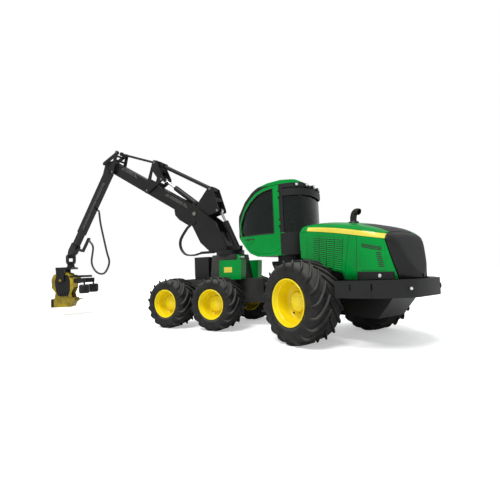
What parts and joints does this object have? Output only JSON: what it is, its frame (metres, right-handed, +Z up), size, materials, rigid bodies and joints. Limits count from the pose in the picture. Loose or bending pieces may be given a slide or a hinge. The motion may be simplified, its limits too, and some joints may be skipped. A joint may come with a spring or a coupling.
{
  "type": "forestry harvester",
  "caption": "Pivot-steered forestry harvester with a slewing cab, a parallel-linkage crane and a hanging harvester head.",
  "frame": {"origin": "on the ground, below the middle of the whole machine's bounding box, in the pictured pose", "axes": "+X runs forward along the rear frame towards the crane's end, +Y to the machine's left, +Z up"},
  "size_m": [12.4284, 6.1989, 5.8531],
  "materials": {
    "black_paint": "satin black paint",
    "dark_moulding": "dark charcoal textured paint",
    "green_paint": "glossy green paint",
    "tinted_glass": "tinted safety glass",
    "grey_casting": "dark grey painted casting",
    "yellow_paint": "glossy yellow paint",
    "hose_rubber": "smooth black hose cover",
    "plated_rod": "polished plating",
    "seat_cloth": "woven black cloth",
    "tyre_rubber": "moulded black rubber"
  },
  "bodies": {
    "rear_frame": {"rear_chassis": "black_paint", "rear_axle": "black_paint", "engine_block": "grey_casting", "hood": "green_paint", "hood_rear_cap": "dark_moulding", "bumper": "dark_moulding", "exhaust": "black_paint"},
    "front_frame": {"front_chassis": "grey_casting", "bogie_left": "black_paint", "bogie_right": "black_paint", "side_tank_left": "green_paint", "side_tank_right": "green_paint", "valve_housing": "black_paint"},
    "cab": {"cab_tub": "green_paint", "cab_pillars": "green_paint", "cab_roof": "green_paint", "cab_window_right": "tinted_glass", "cab_rear_glass": "tinted_glass", "cab_windscreen": "tinted_glass", "seat": "seat_cloth"},
    "cab_door": {"cab_door": "green_paint", "door_glass": "tinted_glass"},
    "crane_pillar": {"crane_pillar": "black_paint", "hose_column_a": "hose_rubber", "hose_column_b": "hose_rubber"},
    "rocker": {"rocker": "black_paint"},
    "main_boom": {"main_boom": "black_paint"},
    "lift_barrel": {"lift_barrel": "black_paint"},
    "lift_rod": {"lift_rod": "plated_rod"},
    "luff_barrel": {"luff_barrel": "black_paint"},
    "luff_rod": {"luff_rod": "plated_rod"},
    "boom_lever": {"boom_lever": "black_paint"},
    "rear_link": {"rear_link": "black_paint"},
    "front_link": {"front_link": "black_paint"},
    "elbow_idler": {"elbow_idler": "black_paint"},
    "elbow_link": {"elbow_link": "black_paint"},
    "stick": {"stick": "black_paint", "hose_stick": "hose_rubber"},
    "stick_extension": {"stick_extension": "black_paint"},
    "hanger": {"hanger": "black_paint"},
    "head_yoke": {"head_yoke": "black_paint"},
    "head_frame": {"head_body": "yellow_paint", "head_core": "black_paint", "saw_box": "yellow_paint"},
    "feed_arm_left": {"feed_arm_left": "black_paint"},
    "feed_arm_right": {"feed_arm_right": "black_paint"},
    "knife_left": {"knife_left": "yellow_paint"},
    "knife_right": {"knife_right": "yellow_paint"},
    "wheel_rear_left": {"tyre_rear_left": "tyre_rubber", "rim_rear_left": "yellow_paint"},
    "wheel_rear_right": {"tyre_rear_right": "tyre_rubber", "rim_rear_right": "yellow_paint"},
    "wheel_middle_left": {"tyre_middle_left": "tyre_rubber", "rim_middle_left": "yellow_paint"},
    "wheel_middle_right": {"tyre_middle_right": "tyre_rubber", "rim_middle_right": "yellow_paint"},
    "wheel_front_left": {"tyre_front_left": "tyre_rubber", "rim_front_left": "yellow_paint"},
    "wheel_front_right": {"tyre_front_right": "tyre_rubber", "rim_front_right": "yellow_paint"}
  },
  "joints": [
    {"name": "rear_left_wheel_spin", "type": "hinge", "parent": "rear_frame", "child": "wheel_rear_left", "pos_m": [-4.264, -0.474, 0.822], "axis": [0, 1, 0], "continuous": true},
    {"name": "rear_right_wheel_spin", "type": "hinge", "parent": "rear_frame", "child": "wheel_rear_right", "pos_m": [-4.264, -2.744, 0.822], "axis": [0, 1, 0], "continuous": true},
    {"name": "frame_steer", "type": "hinge", "parent": "rear_frame", "child": "front_frame", "pos_m": [-2.424, -1.609, 0], "axis": [0, 0, 1], "range_deg": [-66.4, 13.6]},
    {"name": "middle_left_wheel_spin", "type": "hinge", "parent": "front_frame", "child": "wheel_middle_left", "pos_m": [-1.60797, -0.10423, 0.665], "axis": [-0.4446, 0.8957, 0], "continuous": true},
    {"name": "middle_right_wheel_spin", "type": "hinge", "parent": "front_frame", "child": "wheel_middle_right", "pos_m": [-0.73204, -1.86879, 0.665], "axis": [-0.4446, 0.8957, 0], "continuous": true},
    {"name": "front_left_wheel_spin", "type": "hinge", "parent": "front_frame", "child": "wheel_front_left", "pos_m": [-0.2644, 0.56272, 0.665], "axis": [-0.4446, 0.8957, 0], "continuous": true},
    {"name": "front_right_wheel_spin", "type": "hinge", "parent": "front_frame", "child": "wheel_front_right", "pos_m": [0.61153, -1.20183, 0.665], "axis": [-0.4446, 0.8957, 0], "continuous": true},
    {"name": "cab_slew", "type": "hinge", "parent": "rear_frame", "child": "cab", "pos_m": [-2.914, -1.609, 0], "axis": [0, 0, 1], "range_deg": [-106.4, 53.6]},
    {"name": "cab_door_swing", "type": "hinge", "parent": "cab", "child": "cab_door", "pos_m": [-3.19869, -0.92416, 0], "axis": [0, 0, -1], "range_deg": [-80, 0]},
    {"name": "crane_slew", "type": "hinge", "parent": "front_frame", "child": "crane_pillar", "pos_m": [-0.99086, -0.89758, 0], "axis": [0, 0, 1], "range_deg": [-105, 105]},
    {"name": "crane_lift", "type": "hinge", "parent": "crane_pillar", "child": "rocker", "pos_m": [-0.07723, -0.44406, 3.2], "axis": [0.4446, -0.8957, 0], "range_deg": [-10, 25]},
    {"name": "lift_barrel_swing", "type": "hinge", "parent": "crane_pillar", "child": "lift_barrel", "pos_m": [-1.20583, -1.0043, 2.12], "axis": [0.4446, -0.8957, 0], "range_deg": [-8.82, 3.83]},
    {"name": "lift_rod_stroke", "type": "slide", "parent": "lift_barrel", "child": "lift_rod", "axis": [0.381, 0.1891, 0.905], "range_m": [-0.2603, 0.1053]},
    {"name": "crane_reach", "type": "hinge", "parent": "main_boom", "child": "stick", "pos_m": [3.33195, 1.24828, 5.44728], "axis": [0.4446, -0.8957, 0], "range_deg": [-45, 60]},
    {"name": "boom_swing", "type": "hinge", "parent": "rocker", "child": "main_boom", "pos_m": [-0.07723, -0.44406, 3.2], "axis": [0.4446, -0.8957, 0], "range_deg": [-18.62, 14.09]},
    {"name": "elbow_idler_swing", "type": "hinge", "parent": "main_boom", "child": "elbow_idler", "pos_m": [3.19806, 1.18181, 5.12829], "axis": [0.4446, -0.8957, 0], "range_deg": [-17.38, 23]},
    {"name": "elbow_link_swing", "type": "hinge", "parent": "elbow_idler", "child": "elbow_link", "pos_m": [2.99903, 1.08302, 5.78603], "axis": [0.4446, -0.8957, 0], "range_deg": [-9.19, 12.08]},
    {"name": "boom_lever_swing", "type": "hinge", "parent": "main_boom", "child": "boom_lever", "pos_m": [1.74154, 0.4588, 4.2244], "axis": [0.4446, -0.8957, 0], "range_deg": [-12.61, 16.64]},
    {"name": "front_link_swing", "type": "hinge", "parent": "boom_lever", "child": "front_link", "pos_m": [1.42502, 0.30167, 5.10663], "axis": [0.4446, -0.8957, 0], "range_deg": [-16.34, 12.38]},
    {"name": "rear_link_swing", "type": "hinge", "parent": "boom_lever", "child": "rear_link", "pos_m": [1.42502, 0.30167, 5.10663], "axis": [0.4446, -0.8957, 0], "range_deg": [-15.08, 11.44]},
    {"name": "luff_barrel_swing", "type": "hinge", "parent": "main_boom", "child": "luff_barrel", "pos_m": [0.03311, -0.38928, 3.54417], "axis": [0.4446, -0.8957, 0], "range_deg": [-4.46, 3.47]},
    {"name": "luff_rod_stroke", "type": "slide", "parent": "luff_barrel", "child": "luff_rod", "axis": [0.7152, 0.355, 0.6021], "range_m": [-0.1633, 0.123]},
    {"name": "stick_telescope", "type": "slide", "parent": "stick", "child": "stick_extension", "axis": [0.5515, 0.2737, -0.788], "range_m": [-0.5, 1.3]},
    {"name": "hanger_swing", "type": "hinge", "parent": "stick_extension", "child": "hanger", "pos_m": [5.69522, 2.42142, 2.2676], "axis": [-0.4446, 0.8957, 0], "range_deg": [-50, 20]},
    {"name": "head_rotate", "type": "hinge", "parent": "hanger", "child": "head_yoke", "pos_m": [5.69522, 2.42142, 2.2676], "axis": [0, 0, 1], "range_deg": [-170, 170]},
    {"name": "head_tilt", "type": "hinge", "parent": "head_yoke", "child": "head_frame", "pos_m": [5.82925, 2.66725, 1.3576], "axis": [0.878, -0.4787, 0], "range_deg": [0, 90]},
    {"name": "feed_arm_left_swing", "type": "hinge", "parent": "head_frame", "child": "feed_arm_left", "pos_m": [5.76587, 2.12275, 1.3576], "axis": [0, 0, 1], "range_deg": [-25, 20]},
    {"name": "feed_arm_right_swing", "type": "hinge", "parent": "head_frame", "child": "feed_arm_right", "pos_m": [5.4059, 2.31902, 1.3576], "axis": [0, 0, 1], "range_deg": [-20, 25]},
    {"name": "knife_left_swing", "type": "hinge", "parent": "head_frame", "child": "knife_left", "pos_m": [5.82868, 2.23794, 1.3576], "axis": [0, 0, 1], "range_deg": [-30, 12]},
    {"name": "knife_right_swing", "type": "hinge", "parent": "head_frame", "child": "knife_right", "pos_m": [5.4687, 2.43421, 1.3576], "axis": [0, 0, 1], "range_deg": [-12, 30]}
  ],
  "couplings": [
    {"joint": "lift_barrel_swing", "follows": "crane_lift", "ratio": -0.3326},
    {"joint": "lift_rod_stroke", "follows": "crane_lift", "m_per_rad": -0.5919},
    {"joint": "boom_swing", "follows": "crane_reach", "ratio": -0.302},
    {"joint": "elbow_idler_swing", "follows": "crane_reach", "ratio": 0.375},
    {"joint": "elbow_link_swing", "follows": "crane_reach", "ratio": 0.193},
    {"joint": "boom_lever_swing", "follows": "crane_reach", "ratio": 0.269},
    {"joint": "front_link_swing", "follows": "crane_reach", "ratio": -0.264},
    {"joint": "rear_link_swing", "follows": "crane_reach", "ratio": -0.243},
    {"joint": "luff_barrel_swing", "follows": "crane_reach", "ratio": -0.066},
    {"joint": "luff_rod_stroke", "follows": "crane_reach", "m_per_rad": -0.154},
    {"joint": "feed_arm_right_swing", "follows": "feed_arm_left_swing", "ratio": -1},
    {"joint": "knife_right_swing", "follows": "knife_left_swing", "ratio": -1}
  ]
}
